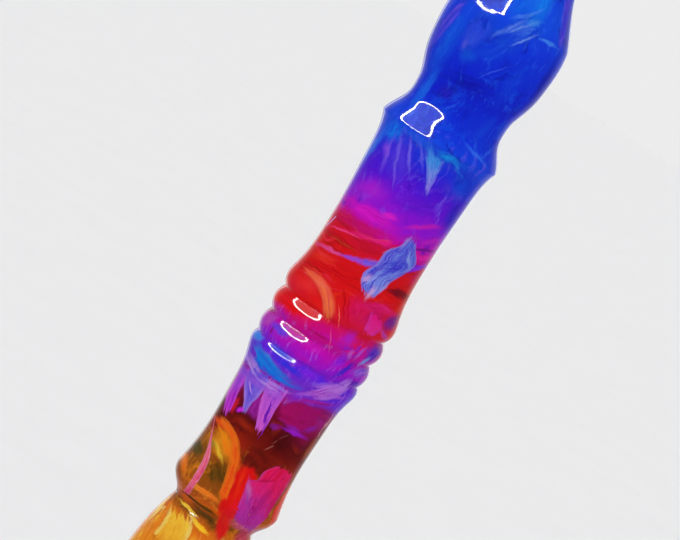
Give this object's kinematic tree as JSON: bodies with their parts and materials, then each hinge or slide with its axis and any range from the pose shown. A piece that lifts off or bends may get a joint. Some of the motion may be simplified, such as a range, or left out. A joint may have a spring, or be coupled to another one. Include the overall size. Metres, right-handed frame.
{
  "type": "magic wand",
  "caption": "Lathe-turned magic wand of swirled cast resin: gold pommel, beaded grip, ridged cobalt bulb and a long tapered shaft.",
  "frame": {"origin": "centre of the pommel's flat end face", "axes": "+Z along the wand from pommel to tip, -Y towards the side that the reference view shows"},
  "size_m": [0.022, 0.022, 0.34],
  "materials": {
    "gold_resin": "polished cast resin, tinted and swirled",
    "amber_resin": "polished cast resin, tinted and swirled",
    "garnet_resin": "polished cast resin, tinted and swirled",
    "azure_resin": "polished cast resin, tinted and swirled",
    "magenta_resin": "polished cast resin, tinted and swirled",
    "scarlet_resin": "polished cast resin, tinted and swirled",
    "crimson_resin": "polished cast resin, tinted and swirled",
    "violet_resin": "polished cast resin, tinted and swirled",
    "cobalt_resin": "polished cast resin, tinted and swirled",
    "indigo_resin": "polished cast resin, tinted and swirled",
    "gold_pigment": "opaque pigment in polished cast resin",
    "orange_pigment": "opaque pigment in polished cast resin",
    "scarlet_pigment": "opaque pigment in polished cast resin",
    "pale_blue_pigment": "opaque pigment in polished cast resin",
    "petal_blue_pigment": "opaque pigment in polished cast resin",
    "azure_pigment": "opaque pigment in polished cast resin",
    "lavender_pigment": "opaque pigment in polished cast resin",
    "rose_pigment": "opaque pigment in polished cast resin",
    "pink_pigment": "opaque pigment in polished cast resin",
    "magenta_pigment": "opaque pigment in polished cast resin",
    "violet_pigment": "opaque pigment in polished cast resin",
    "plum_pigment": "opaque pigment in polished cast resin"
  },
  "bodies": {
    "root": {"pommel_gold_pour": "gold_resin", "lower_grip_gold_pour": "gold_resin", "neck_amber_pour": "amber_resin", "clear_amber_pour": "amber_resin", "garnet_pour": "garnet_resin", "azure_pour": "azure_resin", "magenta_bead_pour": "magenta_resin", "scarlet_pour": "scarlet_resin", "crimson_pour": "crimson_resin", "violet_pour": "violet_resin", "cobalt_ridge_pour": "cobalt_resin", "cobalt_bulb_pour": "cobalt_resin", "shaft_blue_pour": "cobalt_resin", "shaft_indigo_pour": "indigo_resin", "shaft_tip_pour": "indigo_resin", "gold_fold_plume": "gold_pigment", "orange_fold_plume": "orange_pigment", "pink_ribbon_plume": "pink_pigment", "scarlet_arch_plume": "scarlet_pigment", "rose_petal_plume": "rose_pigment", "magenta_tongue_plume": "magenta_pigment", "lavender_petal_plume": "lavender_pigment", "twin_tentacle_plume": "lavender_pigment", "plum_lobe_plume": "plum_pigment", "azure_crescent_plume": "azure_pigment", "lilac_bead_plume": "lavender_pigment", "orange_arch_plume": "orange_pigment", "magenta_petal_plume": "magenta_pigment", "blue_petal_plume": "petal_blue_pigment", "pink_thread_plume": "pink_pigment", "maroon_patch_plume": "plum_pigment", "lavender_wisp_plume": "lavender_pigment", "cyan_wisp_plume": "azure_pigment", "lilac_patch_plume": "lavender_pigment", "pale_blue_plume": "pale_blue_pigment", "violet_bulb_plume": "violet_pigment", "violet_shaft_plume": "violet_pigment", "back_gold_plume": "gold_pigment", "back_rose_plume": "rose_pigment", "back_lavender_plume": "lavender_pigment", "back_azure_plume": "azure_pigment", "back_blue_petal_plume": "petal_blue_pigment", "back_orange_plume": "orange_pigment", "back_pale_blue_plume": "pale_blue_pigment", "pommel_orange_plume": "orange_pigment", "pommel_rose_plume": "rose_pigment", "shaft_azure_plume": "azure_pigment", "shaft_violet_plume": "violet_pigment", "shaft_magenta_plume": "magenta_pigment"}
  },
  "joints": []
}
